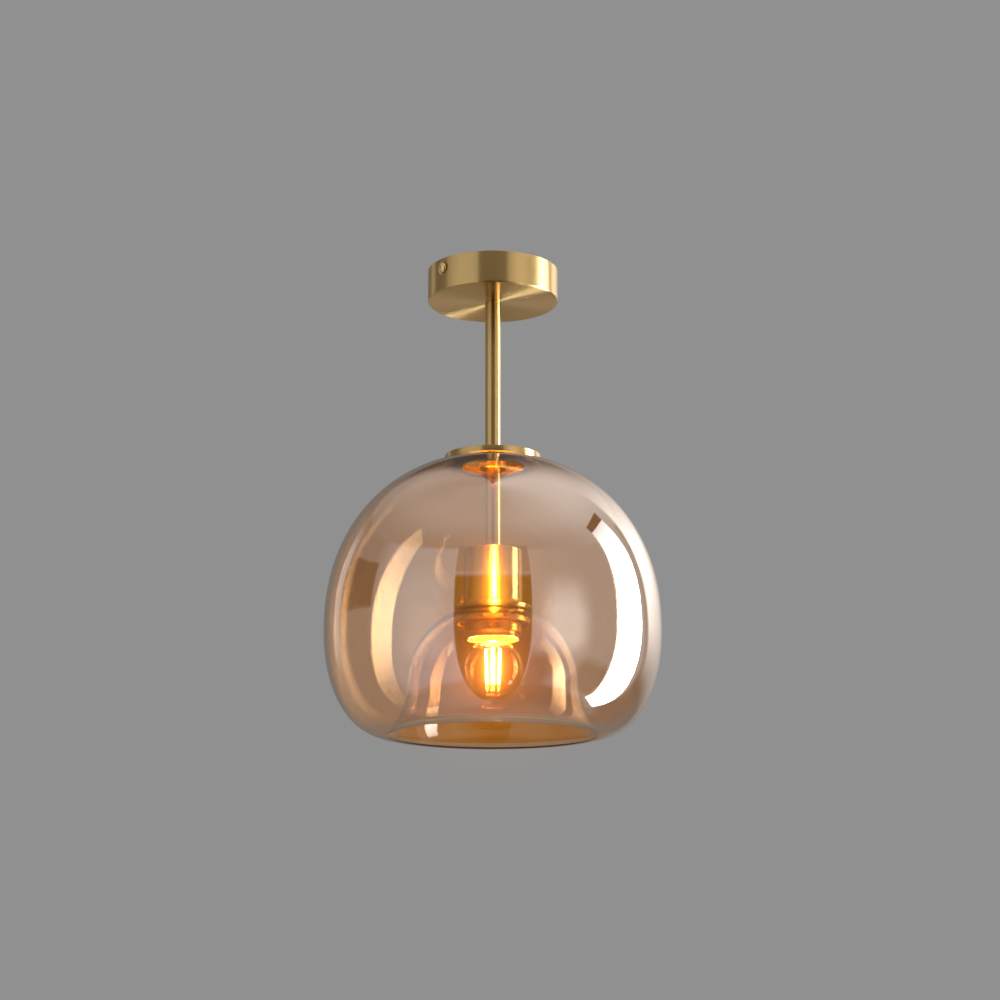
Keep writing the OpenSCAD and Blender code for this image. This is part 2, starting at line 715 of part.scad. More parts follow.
module holder_terminal_screws() {
    head_h = 1.6;
    shank_l = terminal_size[1] / 2 - 0.6;
    color("silver") for (side = [-1, 1])
        translate([side * terminal_x, -terminal_size[1] / 2, z_insert_top + terminal_size[2] / 2])
            rotate([90, 0, 0]) difference() {
                union() {
                    translate([0, 0, fit_gap]) cylinder(d = terminal_screw_d, h = head_h, $fn = small_fn);
                    translate([0, 0, -shank_l])
                        cylinder(d = terminal_screw_d / 2 - 2 * fit_gap, h = shank_l + head_h, $fn = small_fn);
                }
                translate([0, 0, head_h]) cube([terminal_screw_d + 1, 0.7, 1], center = true);
            }
}

module socket_screw_shell() {
    crest_r = shell_bore_d / 2;
    flange_r = ledge_bore_r - 0.4;
    waves = 5;
    plain = 4;
    z_top = z_insert_end;
    z_thread = z_top - plain;
    z_end = z_top - shell_len;
    inner = wave(crest_r + lamp_wave, z_thread, z_thread - waves * lamp_pitch, waves, lamp_wave / 2);
    color("gold") turned(concat(
        [[flange_r, z_top], [flange_r, z_top - shell_t], [crest_r + lamp_wave + shell_t, z_top - shell_t]],
        [for (p = inner) [p[0] + shell_t, p[1]]],
        [[crest_r + lamp_wave + shell_t, z_end], [crest_r + lamp_wave, z_end]],
        reversed(inner),
        [[crest_r + lamp_wave, z_top]]));
}

module socket_centre_contact() {
    foot = [contact_foot_in, contact_foot_out];
    pad = contact_pad_r;
    z = z_insert_end;
    color("gold") translate([0, contact_w / 2, 0]) rotate([90, 0, 0]) linear_extrude(contact_w)
        polygon([[foot[1], z], [foot[1], z - contact_t], [foot[0], z - contact_t], [pad, z_lamp_tip],
            [-pad, z_lamp_tip], [-pad, z_lamp_tip + contact_t], [pad, z_lamp_tip + contact_t], [foot[0] - 0.4, z]]);
}

module shade_ring() {
    r = ring_d / 2;
    bore_r = skirt_d / 2 + thread_gap;
    collar_r = bore_r + ring_t;
    flat_r = crown_r - 0.2;
    z = z_clamp_under;
    slope = 1.5;
    lip_edge = 0.9;
    bead = 0.5;
    z_collar = z - ring_collar_h;
    z_lip = z - ring_lip_h;
    color("goldenrod") turned([[bore_r, z], [flat_r, z], [r - lip_edge, z - slope], [r, z - slope - lip_edge],
        [r, z_lip + lip_edge / 3], [r - lip_edge / 3, z_lip], [r - ring_t + lip_edge / 3, z_lip],
        [r - ring_t, z_lip + lip_edge / 3], [r - ring_t, z - slope - ring_t], [flat_r, z - ring_t],
        [collar_r, z - ring_t], [collar_r, z_collar + 2 * bead], [collar_r + bead, z_collar + bead],
        [collar_r, z_collar], [bore_r, z_collar]]);
}

module bulb_contact_tip() {
    edge = 0.5;
    color("silver") turned([[0, z_insulator_top], [tip_r, z_insulator_top], [tip_r, z_lamp_tip - edge],
        [tip_r - edge, z_lamp_tip], [0, z_lamp_tip]], small_fn);
}

module bulb_insulator() {
    z = z_insulator_top;
    color("black") turned([[0, z], [insulator_r[0], z], [insulator_r[1], z - insulator_h + 0.6],
        [insulator_r[1], z - insulator_h], [0, z - insulator_h]], small_fn);
}

module bulb_screw_cap() {
    r = lamp_thread_d / 2;
    outer = concat(
        [[insulator_r[1] - 1, z_lamp_cone], [insulator_r[1] + 0.6, z_lamp_cone]],
        wave(r, z_lamp_thread, z_lamp_thread_end, thread_waves, lamp_wave),
        [[r - lamp_wave, z_lamp_cap_end + 1], [r, z_lamp_cap_end]]);
    inner = [for (p = outer) [p[0] - cap_sheet, p[1] - (p[1] > z_lamp_cone - 0.1 ? cap_sheet : 0)]];
    color("silver") turned(concat(outer, reversed(inner)));
}

module bulb_driver_board() {
    part_h = board_part_h;
    board_r = lamp_thread_d / 2 - 2 * lamp_wave - cap_sheet - 0.1;
    z = z_lamp_cone - part_h - board_gap;
    color("seagreen") translate([0, 0, z - board_t]) union() {
        cylinder(r = board_r, h = board_t, $fn = small_fn);
        translate([-board_part_x, 0, board_t]) cylinder(d = part_h, h = part_h, $fn = small_fn);
        translate([board_part_x / 2, -part_h / 2, board_t]) cube([part_h, part_h, part_h / 2]);
    }
}

// Outer line of the lamp's glass from its sunk neck to the bottom of the globe
function globe_line(inset) = concat(
    [[neck_r - inset, z_neck_top]],
    [for (t = angles(180, 180 + neck_arc_angle, 8))
        [neck_arc_x + (lamp_neck_r + inset) * cos(t), neck_arc_z + (lamp_neck_r + inset) * sin(t)]],
    [for (t = angles(neck_arc_angle, -90, 24))
        if (t < neck_arc_angle - 1) [(globe_r - inset) * cos(t), z_globe + (globe_r - inset) * sin(t)]]);

module bulb_globe() {
    color("moccasin", 0.4) turned(concat(globe_line(0), reversed(globe_line(lamp_wall))));
}

module bulb_mount() {
    flare_h = 12;
    z = z_mount_top;
    steps = 8;
    flare = [for (t = angles(0, 90, steps))
        [mount_flare_r - (mount_flare_r - mount_column_r - 1) * sin(t), z - flare_h * (1 - cos(t))]];
    color("lightcyan", 0.6) turned(concat(flare,
        [[mount_column_r, z - flare_h - 1], [mount_column_r, z_mount_end + 1], [mount_column_r - 1, z_mount_end],
            [0, z_mount_end], [0, z - flare_h]],
        reversed(beside(flare, mount_wall))), small_fn);
}

// Fine wires from the mount to the filaments' upper ends, and a star that joins their lower ends
module bulb_support_wires() {
    reach = filament_ring_r - filament_d / 2;
    z_top = z_filament_top + support_wire_d / 2;
    z_low = z_filament_top - filament_len - support_wire_d / 2;
    color("silver") union() {
        for (k = [0:filament_count - 1]) rotate([0, 0, (k + 0.5) * 360 / filament_count]) {
            translate([mount_column_r, 0, z_top]) rotate([0, 90, 0])
                cylinder(d = support_wire_d, h = reach + filament_d - mount_column_r, $fn = 16);
            translate([0, 0, z_low]) rotate([0, 90, 0])
                cylinder(d = support_wire_d, h = reach + filament_d - 0.4, $fn = 16);
        }
        translate([0, 0, z_low - support_wire_d]) cylinder(d = 2 * support_wire_d, h = 3, $fn = 16);
        translate([0, 0, z_low]) cylinder(d = support_wire_d, h = z_mount_end - z_low, $fn = 16);
    }
}

module bulb_filaments() {
    color("yellow") for (k = [0:filament_count - 1])
        rotate([0, 0, (k + 0.5) * 360 / filament_count])
            translate([filament_ring_r, 0, z_filament_top - filament_len])
                cylinder(d = filament_d, h = filament_len, $fn = 24);
}

mounting_bracket();
earth_screw();
canopy();
canopy_side_screws();
terminal_block();
terminal_barrels();
terminal_screws();
live_wire();
neutral_wire();
earth_wire();
stem();
top_nipple();
canopy_washer();
canopy_lock_nut();
top_cap();
cap_grub_screw();
top_seal();
glass_shade();
brim_gasket();
lampholder_cup();
bottom_nipple();
cup_lock_nut();
holder_rear_cap();
holder_skirt();
holder_insert();
holder_terminals();
holder_terminal_screws();
socket_screw_shell();
socket_centre_contact();
shade_ring();
bulb_contact_tip();
bulb_insulator();
bulb_screw_cap();
bulb_driver_board();
bulb_globe();
bulb_mount();
bulb_support_wires();
bulb_filaments();
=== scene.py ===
"""Looks of the bubble glass pendant, dressed round its packed construction.

Every round piece is a surface of revolution about the light's own upright axis. Profiles are worked out
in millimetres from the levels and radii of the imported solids, and the meshes are in metres. The ceiling
face is at z = 0 and the light hangs to -Z.
"""
import json
import math

import bmesh
import bpy
import numpy as np
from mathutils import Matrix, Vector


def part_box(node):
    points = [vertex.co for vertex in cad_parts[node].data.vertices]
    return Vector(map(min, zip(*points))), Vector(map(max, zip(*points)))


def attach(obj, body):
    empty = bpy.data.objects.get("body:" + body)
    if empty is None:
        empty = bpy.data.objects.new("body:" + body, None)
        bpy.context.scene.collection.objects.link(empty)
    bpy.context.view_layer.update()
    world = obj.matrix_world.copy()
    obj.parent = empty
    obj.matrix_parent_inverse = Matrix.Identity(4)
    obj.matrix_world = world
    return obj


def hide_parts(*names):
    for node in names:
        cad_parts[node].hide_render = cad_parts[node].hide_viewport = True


MM = 0.001
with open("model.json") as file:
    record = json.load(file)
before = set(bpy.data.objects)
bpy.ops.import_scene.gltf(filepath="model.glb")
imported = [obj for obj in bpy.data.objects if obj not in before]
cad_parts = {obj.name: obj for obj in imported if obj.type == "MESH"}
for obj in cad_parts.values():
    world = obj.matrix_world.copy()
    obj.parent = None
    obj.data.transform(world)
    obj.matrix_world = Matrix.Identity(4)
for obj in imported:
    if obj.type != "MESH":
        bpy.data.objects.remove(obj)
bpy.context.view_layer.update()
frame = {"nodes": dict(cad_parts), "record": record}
scene = bpy.context.scene

# View of the photograph
CAMERA_TURN = math.radians(40.4)
CAMERA_DISTANCE = 1.6885
CAMERA_HEIGHT = -0.5794
CAMERA_PITCH = math.radians(13.28)
LENS_MM = 82.8
FRAME_SHIFT = 0.007

# Backdrop as the camera sees it, an even grey
BACKDROP_GREY = 0.279

# What shows through glass instead, set by itself: level and warmth of an orange tone, by how far a ray
# points away from the camera's side, from 0 across to 1 straight away
THROUGH_GLASS = [(0, 0.12, 0.46), (0.6, 0.15, 0.46), (0.8, 0.32, 0.46), (1, 0.32, 0.46)]

# Highest level that a colour ramp can hold, as it stores shares of it
RAMP_TOP = 4.0

# Level and warmth of the room, its ceiling and its floor by compass turn from the camera's side, positive
# to the right, then the separate walls: left and right turns, lower and upper heights in degrees, level,
# warmth and how many degrees each softly ends over, at left, at right, and below and above
ROOM = [(-180, 0.18, 0.1), (-145, 0.25, 0.1), (-136, 0.28, 0.06), (-122, 0.3, 0.06), (-95, 0.35, 0.06),
        (-75, 0.7, 0.0), (-27, 0.7, 0.0), (27, 0.7, 0.06), (85, 0.65, 0.06), (110, 0.7, 0.03),
        (121, 0.75, 0.03), (127, 0.4, 0.03), (180, 0.25, 0.1)]
CEILING = [(-180, 0.08, 0.06), (-163, 0.12, 0.06), (-152, 0.55, 0.06), (-135, 0.65, 0.06), (-110, 0.6, 0.06),
           (-60, 0.72, 0.06), (0, 0.72, 0.06), (30, 0.88, 0.05), (60, 1.02, 0.04), (90, 1.2, 0.03),
           (130, 1.2, 0.03), (145, 0.95, 0.03), (155, 0.65, 0.06), (166, 0.25, 0.06), (180, 0.08, 0.06)]
FLOOR = [(-180, 0.28, 0.1), (-80, 0.45, 0.1), (-30, 0.45, 0.1), (0, 0.2, 0.1), (60, 0.2, 0.1),
         (180, 0.28, 0.1)]
WALLS = [
    ("dark_opening", -26, 26, -80, 22.5, 0.08, 0.3, 1.2, 1.2, 1.2),
    ("front_top", -26, 26, 21.5, 37, 0.35, 0.06, 1.2, 1.2, 1.2),
    ("dark_left", -121, -88, 10, 26, 0.12, 0.06, 1.0, 1.0, 1.0),
    ("pale_band", -136, -124, -10, 36, 0.7, 0.06, 2.0, 2.0, 14),
    ("pale_left", -74, -27, -34, 30, 0.85, 0.0, 18, 14, 16),
    ("pale_right", 27, 72, -26, 24, 1.5, 0.05, 16, 16, 18),
    ("pale_behind", 125, 176, -12, 56, 3.7, 0.03, 5, 60, 34),
    ("dim_behind", 119, 182, -48, -4, 0.2, 0.06, 5, 5, 10),
    ("dim_right", 60, 100, -50, -14, 0.35, 0.06, 10, 2, 10),
    ("dim_front", 26, 56, -60, -14, 0.22, 0.06, 1, 18, 14),
]

# Heights in degrees over which floor changes to room, room to ceiling, and the ceiling from its dimmed share
# to its full level
FLOOR_TO_ROOM, ROOM_TO_CEILING, DIM_TO_FULL, DIM_SHARE = (-54, -44), (34.5, 36.5), (36, 60), 0.64

# Sphere that carries the walls, in metres
ROOM_R, ROOM_CENTRE = 5.0, -0.25

# Bowed strip light at the right. Its rows give height and place across of the near edge, then of the far
# edge, and level. Place 0 is at STRIP_NEAR and 1 at STRIP_FAR, in metres to the right and to the back.
STRIP_NEAR, STRIP_FAR, STRIP_LEVEL = (0.69, -0.075), (0.495, 0.183), 24.0
STRIP = [
    (-0.93, 0.31, -0.845, 1.06, 0.22), (-0.82, 0.28, -0.72, 1.03, 0.32), (-0.664, 0.12, -0.59, 0.98, 0.45),
    (-0.48, 0.03, -0.45, 0.92, 0.72), (-0.353, 0.02, -0.34, 0.9, 0.95), (-0.216, 0.02, -0.2, 0.91, 1.0),
    (-0.1, 0.05, -0.1, 0.92, 0.6), (0.013, 0.05, -0.01, 0.92, 0.28), (0.141, 0.03, 0.077, 0.88, 0.16),
    (0.3, -0.06, 0.227, 0.79, 0.08), (0.301, -0.06, 0.228, 0.79, 0.004), (0.388, -0.15, 0.3, 0.8, 0.004),
]

# Plain floor, in metres
FLOOR_HALF_WIDTH, FLOOR_HEIGHT, FLOOR_GREY = 60.0, -1.5, 0.53

# Camera bloom
BLOOM = {"Threshold": 14.0, "Strength": 1.0, "Size": 0.17, "Tint": (1.0, 0.65, 0.25, 1.0)}

# Blown glass: fullness of its super-ellipses, then its sizes in millimetres
DOME_FULL, BELLY_FULL, SHOULDER_FULL, FLARE_FULL = 2.18, 2.12, 1.8, 1.8
GLASS_WALL = 2.5
DOME_RISE, EQUATOR_DROP, BELL_WAIST = 119.2, 13.3, 53.0
FOLD_R, BELL_R, CROWN_R, CLAMP_HOLE_R, TOP_HOLE_R = 77.85, 61.0, 24.0, 20.8, 30.0
CROWN_FLAT_R = 22.4

# Bulge of the glass's lip as a share of the wall, points round the glass, points over which its lustre fades
LIP_BULGE, GLASS_AROUND, LUSTRE_FADE = 0.35, 320, 6

# Hole for the nipple, in canopy and cup, in millimetres
NIPPLE_HOLE_R = 5.15


def span(node):
    """Lowest z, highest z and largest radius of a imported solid, in millimetres."""
    low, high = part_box(node)
    return low.z / MM, high.z / MM, max(abs(low.x), abs(high.x), abs(low.y), abs(high.y)) / MM


# Profiles

def arc(cx, cz, rx, rz, start, end, steps):
    """Points (cx + rx cos a, cz + rz sin a) for angles a from start to end in degrees."""
    a = np.radians(np.linspace(start, end, steps + 1))
    return np.stack([cx + rx * np.cos(a), cz + rz * np.sin(a)], 1)


def quarter(a, b, full, start, end, steps):
    """Points (a cos(t)^(2/full), b sin(t)^(2/full)) of a super-ellipse for t from start to end degrees."""
    t = np.radians(np.linspace(start, end, steps + 1))
    c, s = np.clip(np.cos(t), 0, 1), np.clip(np.sin(t), 0, 1)
    return np.stack([a * c ** (2 / full), b * s ** (2 / full)], 1)


def rounded(corners, radius, steps=4):
    """Closed outline with each corner replaced by a quadratic curve that starts and ends radius away from it,
    p = (1 - t)^2 a + 2 t (1 - t) corner + t^2 b."""
    p = np.array(corners, float)
    before, after = np.roll(p, 1, 0) - p, np.roll(p, -1, 0) - p
    lb, la = np.linalg.norm(before, axis=1), np.linalg.norm(after, axis=1)
    r = np.minimum(radius, 0.45 * np.minimum(lb, la))[:, None]
    a, b = p + before / lb[:, None] * r, p + after / la[:, None] * r
    t = np.linspace(0, 1, steps + 1)[None, :, None]
    curve = (1 - t) ** 2 * a[:, None] + 2 * t * (1 - t) * p[:, None] + t ** 2 * b[:, None]
    return curve.reshape(-1, 2)


def spread(points, step):
    """The same line with points no more than step apart, by straight interpolation between its corners."""
    p = np.array(points, float)
    length = np.linalg.norm(np.diff(p, axis=0), axis=1)
    counts = np.maximum(1, np.ceil(length / step).astype(int))
    parts = [p[i] + (p[i + 1] - p[i]) * np.linspace(0, 1, n, endpoint=False)[:, None]
             for i, n in enumerate(counts)]
    return np.concatenate(parts + [p[-1:]])


def beside(line, distance):
    """The line moved by a distance along its normal (tz, -tx), t being its direction of travel."""
    t = np.gradient(line, axis=0)
    t /= np.linalg.norm(t, axis=1)[:, None]
    return line + distance * np.stack([t[:, 1], -t[:, 0]], 1)


# Meshes

def finished(name, vertices, faces, smooth_angle=32):
    """A mesh object at the origin with merged doubles, outward faces and edges sharp above an angle."""
    mesh = bpy.data.meshes.new(name)
    mesh.from_pydata(vertices, [], faces)
    work = bmesh.new()
    work.from_mesh(mesh)
    bmesh.ops.remove_doubles(work, verts=work.verts, dist=1e-7)
    bmesh.ops.recalc_face_normals(work, faces=work.faces)
    work.to_mesh(mesh)
    work.free()
    mesh.shade_smooth()
    mesh.set_sharp_from_angle(angle=math.radians(smooth_angle))
    piece = bpy.data.objects.new(name, mesh)
    scene.collection.objects.link(piece)
    return piece


def grid_faces(rows, columns, wrap_rows):
    """Quads of a grid whose columns close on themselves, and whose rows do if wrap_rows is true."""
    r = np.arange(rows if wrap_rows else rows - 1)
    c = np.arange(columns)
    i, j = np.meshgrid(r, c, indexing="ij")
    down, right = (i + 1) % rows, (j + 1) % columns
    quads = np.stack([i * columns + j, down * columns + j, down * columns + right, i * columns + right], -1)
    return quads.reshape(-1, 4)


def turned(name, profile, around=192, smooth_angle=32):
    """Surface of revolution (r cos u, r sin u, z) of a closed profile (r, z) in millimetres, u going once
    round."""
    profile = np.array(profile, float)
    u = np.linspace(0, 2 * np.pi, around, endpoint=False)
    r, z = profile[:, :1], profile[:, 1:]
    points = np.stack([r * np.cos(u), r * np.sin(u), z + 0 * u], -1).reshape(-1, 3) * MM
    faces = grid_faces(len(profile), around, True)
    return finished(name, points.tolist(), faces.tolist(), smooth_angle)


def put_on(piece, body, material, slot, *nodes):
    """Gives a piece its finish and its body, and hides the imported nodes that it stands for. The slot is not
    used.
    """
    piece.data.materials.clear()
    piece.data.materials.append(material)
    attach(piece, body)
    if nodes:
        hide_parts(*nodes)
    return piece


# Finishes

def worked_out(tree, operation, a, b=0.0, clamp=False):
    """Result of one Math node, whose two inputs are numbers or sockets."""
    made = tree.nodes.new("ShaderNodeMath")
    made.operation = operation
    made.use_clamp = clamp
    for socket, value in zip(made.inputs, (a, b)):
        if isinstance(value, (int, float)):
            socket.default_value = value
        else:
            tree.links.new(value, socket)
    return made.outputs[0]


class Finish:
    """A node material built round one Principled shader, on Object coordinates."""

    def __init__(self, name, colour, roughness, metallic=0.0):
        """Sets colour in linear light, roughness and metallic, each from 0 to 1."""
        self.material = bpy.data.materials.new(name)
        self.material.use_nodes = True
        self.tree = self.material.node_tree
        self.shader = self.tree.nodes["Principled BSDF"]
        self.shader.inputs["Base Color"].default_value = (*colour, 1)
        self.shader.inputs["Roughness"].default_value = roughness
        self.shader.inputs["Metallic"].default_value = metallic
        self.place = self.node("ShaderNodeTexCoord").outputs["Object"]

    def node(self, kind, **settings):
        """New node of a kind, with its settings."""
        made = self.tree.nodes.new(kind)
        for key, value in settings.items():
            setattr(made, key, value)
        return made

    def link(self, out, into):
        """Joins an output to an input."""
        self.tree.links.new(out, into)

    def math(self, operation, a, b=0.0):
        """Result of a Math node in this finish."""
        return worked_out(self.tree, operation, a, b)

    def noise(self, scale, detail=3.0, where=None):
        """Noise with a number of waves per metre, at the piece's own place or at another vector."""
        noise = self.node("ShaderNodeTexNoise")
        noise.inputs["Scale"].default_value = scale
        noise.inputs["Detail"].default_value = detail
        self.link(where or self.place, noise.inputs["Vector"])
        return noise.outputs["Fac"]

    def ranged(self, value, low, high, from_low=0.3, from_high=0.7):
        """Value taken in a straight line from one range to another."""
        made = self.node("ShaderNodeMapRange")
        self.link(value, made.inputs["Value"])
        ends = {"From Min": from_low, "From Max": from_high, "To Min": low, "To Max": high}
        for key, number in ends.items():
            made.inputs[key].default_value = number
        return made.outputs["Result"]

    def tinted(self, value, dark, light):
        """Base colour between dark and light, by a value from 0 to 1."""
        made = self.node("ShaderNodeMix", data_type="RGBA")
        self.link(value, made.inputs["Factor"])
        made.inputs["A"].default_value = (*dark, 1)
        made.inputs["B"].default_value = (*light, 1)
        self.link(made.outputs["Result"], self.shader.inputs["Base Color"])

    def bumped(self, height, depth, strength):
        """Bump from a height from 0 to 1, its depth in metres."""
        made = self.node("ShaderNodeBump")
        made.inputs["Distance"].default_value = depth
        made.inputs["Strength"].default_value = strength
        self.link(height, made.inputs["Height"])
        self.link(made.outputs["Normal"], self.shader.inputs["Normal"])

    def lathe_place(self):
        """Vector (distance from the axis, slow turn, height), along which lathe marks run."""
        split = self.node("ShaderNodeSeparateXYZ")
        self.link(self.place, split.inputs[0])
        x, y, z = split.outputs
        radius = self.math("SQRT", self.math("ADD", self.math("MULTIPLY", x, x), self.math("MULTIPLY", y, y)))
        join = self.node("ShaderNodeCombineXYZ")
        self.link(radius, join.inputs[0])
        self.link(self.math("MULTIPLY", self.math("ARCTAN2", y, x), 0.004), join.inputs[1])
        self.link(z, join.inputs[2])
        return join.outputs[0]


def satin_brass(name, roughness, colour=(0.62, 0.43, 0.18), grain=700.0, stretch=1.0):
    """Lathe-turned brass: reflections drawn out across fine rings, with a faint change of tone and gloss."""
    f = Finish(name, colour, roughness, 1.0)
    marks = f.noise(grain, 3.0, where=f.lathe_place())
    f.tinted(f.ranged(f.noise(22.0, 3.0), 0.0, 1.0), tuple(c * 0.93 for c in colour), colour)
    f.link(f.ranged(marks, roughness * 0.93, roughness * 1.07), f.shader.inputs["Roughness"])
    f.bumped(marks, 0.00001, 0.06)
    f.shader.inputs["Anisotropic"].default_value = stretch
    f.shader.inputs["Anisotropic Rotation"].default_value = 0.25
    tangent = f.node("ShaderNodeTangent", direction_type="RADIAL", axis="Z")
    f.link(tangent.outputs[0], f.shader.inputs["Tangent"])
    return f.material


def plain_metal(name, colour, roughness, grain=400.0):
    """Pressed or plated metal with a faint mottled gloss."""
    f = Finish(name, colour, roughness, 1.0)
    mottle = f.noise(grain, 4.0)
    f.tinted(f.ranged(f.noise(60.0), 0.0, 1.0), tuple(c * 0.86 for c in colour), colour)
    f.link(f.ranged(mottle, roughness * 0.8, roughness * 1.25), f.shader.inputs["Roughness"])
    f.bumped(mottle, 0.00002, 0.15)
    return f.material


def moulded(name, colour, roughness, grain=700.0):
    """Moulded plastic, rubber or fired clay with a fine skin."""
    f = Finish(name, colour, roughness)
    skin = f.noise(grain, 4.0)
    f.tinted(f.ranged(f.noise(45.0), 0.0, 1.0), tuple(c * 0.9 for c in colour), colour)
    f.link(f.ranged(skin, roughness * 0.85, min(1.0, roughness * 1.15)), f.shader.inputs["Roughness"])
    f.bumped(skin, 0.00003, 0.3)
    return f.material


def clear(name, colour, ior, coat=0.0, coat_ior=1.5, depth=(), lustre=False):
    """Glass that lets lamp light through: shadow rays pass straight and take its tint. Depth is the share
    of each colour lost per metre inside, as exp(-depth x). Lustre keeps the coat to the air side of the
    faces that carry it."""
    f = Finish(name, colour, 0.0)
    f.shader.inputs["Transmission Weight"].default_value = 1.0
    f.shader.inputs["IOR"].default_value = ior
    f.shader.inputs["Coat Weight"].default_value = coat
    f.shader.inputs["Coat IOR"].default_value = coat_ior
    f.shader.inputs["Coat Roughness"].default_value = 0.0
    if lustre:
        coated = f.node("ShaderNodeAttribute", attribute_name="lustre").outputs["Fac"]
        from_inside = f.node("ShaderNodeNewGeometry").outputs["Backfacing"]
        outside = worked_out(f.tree, "SUBTRACT", coated, from_inside, clamp=True)
        f.link(outside, f.shader.inputs["Coat Weight"])
    pane = f.node("ShaderNodeBsdfTransparent")
    pane.inputs["Color"].default_value = (*[c ** 0.5 for c in colour], 1)
    path = f.node("ShaderNodeLightPath")
    mix = f.node("ShaderNodeMixShader")
    f.link(path.outputs["Is Shadow Ray"], mix.inputs["Fac"])
    f.link(f.shader.outputs[0], mix.inputs[1])
    f.link(pane.outputs[0], mix.inputs[2])
    f.link(mix.outputs[0], f.tree.nodes["Material Output"].inputs["Surface"])
    if depth:
        body = f.node("ShaderNodeVolumeAbsorption")
        body.inputs["Density"].default_value = max(depth)
        body.inputs["Color"].default_value = (*[1 - d / max(depth) for d in depth], 1)
        f.link(body.outputs[0], f.tree.nodes["Material Output"].inputs["Volume"])
    return f.material


def glowing(name, colour, strength):
    """Phosphor-coated light strip, lit."""
    f = Finish(name, colour, 0.6)
    speckle = f.noise(1500.0, 2.0)
    f.tinted(speckle, tuple(c * 0.9 for c in colour), colour)
    f.shader.inputs["Emission Color"].default_value = (*colour, 1)
    f.shader.inputs["Emission Strength"].default_value = strength
    return f.material


BRASS = satin_brass("satin_brass", 0.3)
BRASS_PLAIN = satin_brass("polished_brass", 0.28, (0.7, 0.49, 0.21), 500.0, 0.3)
BRASS_SMALL = plain_metal("pressed_brass", (0.88, 0.65, 0.3), 0.25)
ZINC = plain_metal("zinc_plate", (0.72, 0.73, 0.75), 0.32)
LAMP_METAL = plain_metal("lamp_cap_metal", (0.8, 0.79, 0.77), 0.22)
RUBBER = moulded("black_rubber", (0.012, 0.011, 0.010), 0.55)
SILICONE = moulded("milky_silicone", (0.24, 0.17, 0.11), 0.45)
NYLON = moulded("white_nylon", (0.82, 0.82, 0.78), 0.4)
PORCELAIN = moulded("steatite", (0.85, 0.82, 0.75), 0.5, 1200.0)
INSULATOR = moulded("black_glass_bead", (0.01, 0.01, 0.012), 0.12)
BOARD = moulded("circuit_board", (0.03, 0.2, 0.08), 0.4)
BROWN = moulded("brown_insulation", (0.12, 0.045, 0.02), 0.35)
BLUE = moulded("blue_insulation", (0.02, 0.13, 0.5), 0.35)
GREEN = moulded("green_yellow_insulation", (0.2, 0.42, 0.04), 0.35)
AMBER = clear("amber_glass", (1.0, 0.99, 0.98), 1.5, 1.0, 3.0, depth=(30.0, 98.0, 205.0), lustre=True)
LAMP_GLASS = clear("lamp_glass", (0.98, 0.9, 0.78), 1.5)
FILAMENT = glowing("lit_filament", (1.0, 0.66, 0.3), 130.0)


# Ceiling canopy and stem

def make_canopy():
    """Pressed shell, a surface of revolution whose wall is pushed inwards round each side screw by
    depth * s(q), where q is the distance from the screw's axis along the wall and s falls smoothly from 1
    at the head to 0 at the dimple's edge."""
    low, high, r = span("canopy")
    screw_low, screw_high, _ = span("canopy_side_screws")
    wall, edge, inner = 1.2, 1.4, 0.5
    depth, dimple_in, dimple_out, level = 0.7, 3.9, 5.5, (screw_low + screw_high) / 2
    profile = np.concatenate([
        spread([[NIPPLE_HOLE_R, low], [r - edge, low]], 3.0),
        arc(r - edge, low + edge, edge, edge, -90, 0, 8)[1:],
        spread([[r, low + edge], [r, high - 0.2]], 0.4)[1:], [[r - 0.2, high], [r - wall + 0.2, high]],
        spread([[r - wall, high - 0.2], [r - wall, low + wall + inner]], 0.4),
        arc(r - wall - inner, low + wall + inner, inner, inner, 0, -90, 4)[1:],
        spread([[r - wall - inner, low + wall], [NIPPLE_HOLE_R, low + wall]], 3.0)[1:]])
    near = np.linspace(-8, 8, 40, endpoint=False)
    half = np.radians(np.concatenate([near, np.linspace(8, 172, 110, endpoint=False)]))
    u = np.concatenate([half, half + np.pi])
    radius, z = profile[:, :1] + 0 * u, profile[:, 1:] + 0 * u
    across = r * np.abs((u + np.pi / 2) % np.pi - np.pi / 2)
    share = np.clip((dimple_out - np.hypot(across, z - level)) / (dimple_out - dimple_in), 0, 1)
    radius = radius - depth * share * share * (3 - 2 * share) * (profile[:, :1] > r - wall - 0.1)
    points = np.stack([radius * np.cos(u), radius * np.sin(u), z], -1).reshape(-1, 3) * MM
    piece = finished("canopy_shell", points.tolist(), grid_faces(len(profile), len(u), True).tolist())
    return put_on(piece, "fixture", BRASS, "brass_satin", "canopy")


def make_stem():
    """Tube: a rectangle from bore to outside with rounded corners, turned."""
    low, high, r = span("stem")
    bore = 5.02
    profile = rounded([[r, low], [r, high], [bore, high], [bore, low]], 0.25)
    return put_on(turned("stem_tube", profile, 96), "fixture", BRASS, "brass_satin", "stem")


def make_top_cap():
    """Disc whose roof carries a hub round the stem and a rim at its edge, as one rounded outline, turned."""
    low, high, r = span("top_cap")
    height, roof_t, rim, hub, bore = 4.8, 1.6, 1.6, 10.0, 6.075
    seat, roof = high - height, high - roof_t
    profile = rounded([[bore, low], [hub, low], [hub, roof], [r - rim, roof], [r - rim, seat], [r, seat],
                       [r, high], [bore, high]], 0.5)
    return put_on(turned("cap_disc", profile, 192), "fixture", BRASS, "brass_satin", "top_cap")


